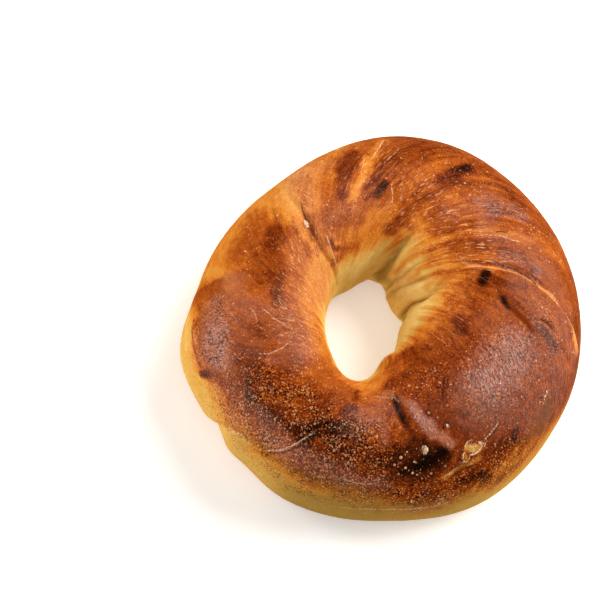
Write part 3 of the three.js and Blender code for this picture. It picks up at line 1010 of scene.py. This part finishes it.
class Nodes:
    """Short ways to add and join shader nodes, with sizes in millimetres."""

    def __init__(self, material):
        material.use_nodes = True
        self.tree = material.node_tree
        self.tree.nodes.clear()
        self.place = self.add("ShaderNodeTexCoord").outputs["Object"]

    def add(self, kind, settings=None, **inputs):
        """A node. An input goes by its name, with _ for a space, or by its number, as i0."""
        node = self.tree.nodes.new(kind)
        for name, value in (settings or {}).items():
            setattr(node, name, value)
        for name, value in inputs.items():
            number = name[1:]
            socket = node.inputs[int(number) if number.isdigit() else name.replace("_", " ")]
            if isinstance(value, bpy.types.NodeSocket):
                self.tree.links.new(value, socket)
            else:
                socket.default_value = value
        return node

    def attribute(self, name, output="Fac"):
        return self.add("ShaderNodeAttribute", {"attribute_name": name}).outputs[output]

    def math(self, operation, *values):
        inputs = {f"i{number}": value for number, value in enumerate(values)}
        return self.add("ShaderNodeMath", {"operation": operation}, **inputs).outputs[0]

    def times(self, first, second):
        return self.math("MULTIPLY", first, second)

    def total(self, *terms):
        """The sum of values, each times its own factor."""
        result = 0.0
        for value, factor in terms:
            result = self.math("MULTIPLY_ADD", value, factor, result)
        return result

    def vector(self, operation, *values, output=0):
        inputs = {f"i{number}": value for number, value in enumerate(values)}
        return self.add("ShaderNodeVectorMath", {"operation": operation}, **inputs).outputs[output]

    def spread(self, value, low, high, to_low, to_high):
        """A value between two limits, spread evenly between two others."""
        inputs = {"From_Min": low, "From_Max": high, "To_Min": to_low, "To_Max": to_high}
        return self.add("ShaderNodeMapRange", Value=value, **inputs).outputs[0]

    def bell(self, value, middle):
        """1 where a value is at the middle, falling to 0 on both sides."""
        squared = self.math("POWER", self.math("SUBTRACT", value, middle), 2)
        return self.math("POWER", 0.368, squared)

    def noise(self, place, size, detail, unit=METRES):
        return self.add("ShaderNodeTexNoise", Vector=place, Scale=1 / (size * unit), Detail=detail).outputs

    def lumps(self, place, size, detail, unit=METRES):
        """Noise from -0.5 to 0.5 with lumps of a size."""
        return self.math("SUBTRACT", self.noise(place, size, detail, unit)["Fac"], 0.5)

    def warped(self, place, size, far):
        """A place moved a little to and fro, by lumps of a size."""
        shift = self.vector("SUBTRACT", self.noise(place, size, 1)["Color"], (0.5, 0.5, 0.5))
        return self.vector("MULTIPLY_ADD", shift, (far * METRES,) * 3, place)

    def cells(self, place, size):
        """Cells of a size: the distance to the nearest middle, and two random values of that cell."""
        cells = self.add("ShaderNodeTexVoronoi", Vector=place, Scale=1 / (size * METRES)).outputs
        chance = self.add("ShaderNodeSeparateColor", Color=cells["Color"]).outputs
        return cells["Distance"], chance[0], chance[1]

    def dots(self, place, size, share):
        """Dots from 0 to 1 with clear edges, in a share of cells of a size."""
        away, chance, width = self.cells(place, size)
        dot = self.spread(self.math("DIVIDE", away, self.spread(width, 0, 1, 0.14, 0.36)), 0.5, 1.1, 1, 0)
        return self.times(dot, self.math("LESS_THAN", chance, share))

    def pebbles(self, place, size, reach):
        """Rounded grains from 0 to 1, each of its own height, in cells of a size."""
        away, chance, _ = self.cells(place, size)
        dome = self.spread(away, 0.2 * reach, reach, 1, 0)
        return self.times(dome, self.spread(chance, 0, 1, 0.3, 1))

    def blend(self, share, first, second):
        """A colour between two others."""
        return self.add("ShaderNodeMix", {"data_type": "RGBA"}, i0=share, i6=first, i7=second).outputs[2]

    def ramp(self, value, stops):
        """The colour at a value, between stops of position and colour."""
        node = self.add("ShaderNodeValToRGB", Fac=value)
        elements = node.color_ramp.elements
        while len(elements) < len(stops):
            elements.new(1)
        for element, (position, colour) in zip(elements, stops):
            element.position = position
            element.color = colour
        return node.outputs["Color"]

    def bump(self, height):
        return self.add("ShaderNodeBump", Strength=1, Distance=METRES, Height=height).outputs[0]

    def surface(self, **inputs):
        """Ends the material with one surface shader."""
        shader = self.add("ShaderNodeBsdfPrincipled", **inputs)
        self.add("ShaderNodeOutputMaterial", Surface=shader.outputs[0])


class CrustNodes(Nodes):
    """The crust's nodes, with its fine pattern as values that its colour, relief and gloss share."""

    def add_pattern(self, spots):
        self.bake = self.attribute("bake")
        self.uneven = self.warped(self.place, WARP_SIZE, WARP_REACH)
        self.clumps = self.spread(self.lumps(self.place, CLUMP_SIZE, 1), -0.14, 0.14, 0.3, 1.2)
        self.add_skin()
        self.add_dough_grain()
        self.add_blisters()
        self.add_single_blisters(spots)
        self.add_lines()

    def add_skin(self):
        """Mottling, rounded grains of two sizes, and pits."""
        self.mottle = self.lumps(self.place, MOTTLE_SIZE, 2)
        self.grainy = self.times(self.attribute("grainy"), self.spread(self.clumps, 0.3, 1.2, 0.7, 1.15))
        self.grains = self.times(self.pebbles(self.uneven, GRAIN_SIZE, 0.5), self.grainy)
        self.fine_grains = self.times(self.pebbles(self.uneven, FINE_GRAIN_SIZE, 0.6), self.grainy)
        crowd = self.spread(self.times(self.attribute("pitted"), self.clumps), 0, 1, -0.22, 0)
        hollows = self.total((self.lumps(self.uneven, PIT_SIZE, 1), -1), (crowd, 1))
        self.pits = self.spread(hollows, 0.05, 0.11, 0, 1)

    def add_dough_grain(self):
        """Long streaks, shorter furrows and light dashes, all along the dough's grain."""
        grain = self.attribute("grain", "Vector")
        shorter = self.vector("MULTIPLY", grain, (1, 1, 2.5))
        self.streak = self.lumps(grain, STREAK_WIDTH, 2, unit=1)
        self.furrow = self.lumps(shorter, STREAK_WIDTH, 1, unit=1)
        self.furrowed = self.times(self.furrow, self.grainy)
        shorter = self.vector("MULTIPLY", grain, (1, 1, 2.2))
        dash = self.spread(self.lumps(shorter, DASH_WIDTH, 1, unit=1), 0.09, 0.18, 0, 1)
        self.dash = self.times(dash, self.attribute("dashes"))

    def add_blisters(self):
        """Fine light blisters, as blobs and dots."""
        crowd = self.times(self.attribute("tips"), self.clumps)
        blobs = self.lumps(self.uneven, BLOB_SIZE, 0)
        blobs = self.math("ADD", blobs, self.spread(crowd, 0, 1, -0.3, -0.05))
        blobs = self.spread(blobs, 0, 0.06, 0, 0.8)
        self.tips = self.math("MAXIMUM", blobs, self.dots(self.uneven, DOT_SIZE, crowd))

    def add_single_blisters(self, spots):
        """Larger blisters at given middles, with their radii, each with a dark rim of painted shadow and
        browner crust.
        """
        radii_away = 9.0
        for middle, radius in spots:
            away = self.vector("DISTANCE", self.place, tuple(middle * METRES), output="Value")
            radii_away = self.math("MINIMUM", radii_away, self.math("DIVIDE", away, radius * METRES))
        self.spot = self.spread(radii_away, 0.6, 1, 1, 0)
        self.rim = self.bell(self.times(radii_away, 4), 5)

    def add_lines(self):
        """Thin pale lines with a painted shadow beside them, and dark cracks of painted shadow, all jagged
        and broken up.
        """
        jagged = self.lumps(self.place, JAG_SIZE, 1)
        broken = self.spread(self.lumps(self.place, BREAK_SIZE, 1), -0.1, 0.06, 0.15, 0.9)
        line = self.times(self.attribute("line"), broken)
        line_side = self.total((self.attribute("line_side"), 1), (jagged, 4))
        self.line = self.times(self.bell(line_side, 0), line)
        self.shade = self.times(self.bell(line_side, 2), line)
        crack_side = self.total((self.attribute("crack_side"), 1), (jagged, 2))
        crack = self.times(self.bell(crack_side, 0), self.attribute("crack"))
        self.crack = self.times(crack, self.spread(broken, 0, 0.5, 0.4, 1))

    def mix(self, **factors):
        """The sum of values of the pattern by name, each times its own factor."""
        return self.total(*((getattr(self, name), factor) for name, factor in factors.items()))

    def colour(self):
        """The colour of the bake, then olive tone and painted shade, painted sheen and glints, light
        blisters, cracks and pale lines over it.
        """
        # Pits are painted darker, as shade in the hollows
        detail = self.mix(mottle=0.2, streak=0.12, furrowed=-0.25, pits=0.42, grainy=0.12, grains=-0.35,
                          fine_grains=-0.48)
        detail = self.times(detail, self.spread(self.bake, 0.1, 0.5, 0.85, 1))
        marks = self.mix(tips=-0.1, dash=-0.1, shade=0.12, rim=0.1, spot=-0.03, bake=1)
        colour = self.ramp(self.math("ADD", detail, marks), BAKE_COLOURS)
        # Olive tone and painted shade
        colour = self.blend(self.attribute("olive"), colour, OLIVE_AND_SHADE_COLOUR)
        # Painted sheen: a pinkish reflection painted over the colour, stronger on raised grains
        raised = self.spread(self.mix(grains=1, fine_grains=1, spot=-1), 0, 0.7, 0.4, 1.4)
        haze = self.times(self.attribute("haze"), raised)
        painted_sheen_tone = self.blend(self.spread(self.bake, 0.42, 0.62, 0, 1), PALE_PAINTED_SHEEN_COLOUR, PAINTED_SHEEN_COLOUR)
        colour = self.blend(haze, colour, painted_sheen_tone)
        # Painted glints: the tops of the larger grains painted pale as highlights
        painted_glint = self.spread(self.grains, 0.35, 0.65, 0, 1)
        spot = self.times(self.spot, self.spread(self.bake, 0.75, 0.9, 0.15, 0.7))
        spot = self.times(spot, self.spread(haze, 0, 0.4, 1, 0))
        light = self.total((self.tips, 0.45), (painted_glint, 0.3), (self.dash, 0.45), (spot, 1))
        colour = self.blend(light, colour, TIP_AND_GLINT_COLOUR)
        # Cracks painted dark as the shadow in them, then the pale lines
        colour = self.blend(self.crack, colour, CRACK_AND_SHADOW_COLOUR)
        return self.blend(self.line, colour, LINE_COLOUR)


def crust_material(spots):
    """Baked crust: colour by how far it is baked, an uneven egg-wash gloss and a fine grain."""
    material = bpy.data.materials.new("baked_crust")
    nodes = CrustNodes(material)
    nodes.add_pattern(spots)
    skin = nodes.mix(mottle=0.3, streak=0.1, grains=0.24, fine_grains=0.14, pits=-0.14, tips=0.12, spot=0.2,
                     dash=0.08, line=0.12, crack=-0.15)
    glaze = nodes.mix(mottle=0.5, furrow=0.8, grains=0.08, fine_grains=0.08, pits=-0.18, tips=0.06, spot=0.2,
                      line=0.08, crack=-0.1)
    browned = nodes.spread(nodes.bake, 0.2, 0.6, 0, 1)
    unpitted = nodes.math("SUBTRACT", browned, nodes.pits)
    gloss = nodes.math("ADD", nodes.mix(tips=0.3, spot=0.4), nodes.attribute("gloss"))
    nodes.surface(Base_Color=nodes.colour(), Roughness=nodes.spread(browned, 0, 1, 0.8, 0.6),
                  Specular_IOR_Level=0, Normal=nodes.bump(skin), Coat_Weight=nodes.times(unpitted, gloss),
                  Coat_Roughness=0.16, Coat_IOR=1.45, Coat_Normal=nodes.bump(glaze))
    return material


def floor_material():
    """Matte white paper with a faint tooth."""
    material = bpy.data.materials.new("white_paper")
    nodes = Nodes(material)
    tooth = nodes.noise(nodes.place, 40, 2)["Fac"]
    tone = nodes.ramp(tooth, PAPER_TONES)
    nodes.surface(Base_Color=tone, Roughness=0.9, Emission_Color=tone, Emission_Strength=0.4)
    return material


def build_ring():
    """The bread ring, in place of the part's plain solid."""
    crust = Crust()
    add_creases(crust)
    add_bake(crust)
    add_texture(crust)
    add_unevenness(crust)
    add_lines(crust, PALE_LINES, crust.line, crust.line_side)
    add_lines(crust, CRACKS_AND_SHADOW_LINES, crust.crack, crust.crack_side)
    add_flakes(crust)
    add_blisters(crust)
    add_grain(crust)
    ring = bpy.data.objects.new("acma_crust", ring_mesh(crust))
    bpy.context.scene.collection.objects.link(ring)
    ring.data.materials.append(crust_material(spot_places(crust)))
    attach(ring, "root")
    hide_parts("bread_ring")


def build_floor():
    """A wide pale floor just under the ring."""
    signs = [(-1, -1), (1, -1), (1, 1), (-1, 1)]
    corners = [(x * FLOOR_HALF, y * FLOOR_HALF, -FLOOR_DROP) for x, y in signs]
    mesh = bpy.data.meshes.new("floor")
    mesh.from_pydata(corners, [], [(0, 1, 2, 3)])
    floor = bpy.data.objects.new("floor", mesh)
    bpy.context.scene.collection.objects.link(floor)
    floor.data.materials.append(floor_material())


def build_camera():
    """The camera at the photograph's viewing angle, with the ring where the photograph has it."""
    elevation = np.radians(CAMERA_ELEVATION)
    roll = np.radians(CAMERA_ROLL)
    back = np.array([0, -np.cos(elevation), np.sin(elevation)])
    level_right = np.array([1, 0, 0])
    level_up = np.array([0, np.sin(elevation), np.cos(elevation)])
    right = np.cos(roll) * level_right + np.sin(roll) * level_up
    up = -np.sin(roll) * level_right + np.cos(roll) * level_up
    off = (MIDDLE_PX - PICTURE_PX / 2) / PX_PER_MM
    eye = MIDDLE - right * off[0] + up * off[1] + back * CAMERA_DISTANCE
    camera = bpy.data.objects.new("camera", bpy.data.cameras.new("camera"))
    bpy.context.scene.collection.objects.link(camera)
    camera.data.sensor_width = SENSOR
    camera.data.lens = PX_PER_MM * CAMERA_DISTANCE / PICTURE_PX * SENSOR
    turn = Matrix((right, up, back)).transposed().to_4x4()
    camera.matrix_world = Matrix.Translation(Vector(eye * METRES)) @ turn
    bpy.context.scene.camera = camera


def add_light(name, azimuth, elevation, size, power, reflects):
    """A square softbox that faces the ring, from a direction in degrees."""
    light = bpy.data.lights.new(name, "AREA")
    light.shape = "SQUARE"
    light.size = size
    light.energy = power
    light.color = LIGHT_COLOUR
    lamp = bpy.data.objects.new(name, light)
    bpy.context.scene.collection.objects.link(lamp)
    turn = np.radians(azimuth)
    rise = np.radians(elevation)
    way = Vector((np.cos(rise) * np.cos(turn), np.cos(rise) * np.sin(turn), np.sin(rise)))
    lamp.location = way * LIGHT_DISTANCE
    lamp.rotation_euler = way.to_track_quat("Z", "Y").to_euler()
    lamp.visible_glossy = reflects


def build_studio():
    """Soft white light all round: a large softbox behind, weaker ones at the sides and a fill from above."""
    scene = bpy.context.scene
    scene.view_settings.view_transform = "Standard"
    world = bpy.data.worlds.new("studio")
    scene.world = world
    world.use_nodes = True
    background = world.node_tree.nodes["Background"]
    background.inputs["Color"].default_value = SKY_COLOUR
    background.inputs["Strength"].default_value = SKY_STRENGTH
    for light in LIGHTS:
        add_light(*light)


build_camera()
build_ring()
build_floor()
build_studio()
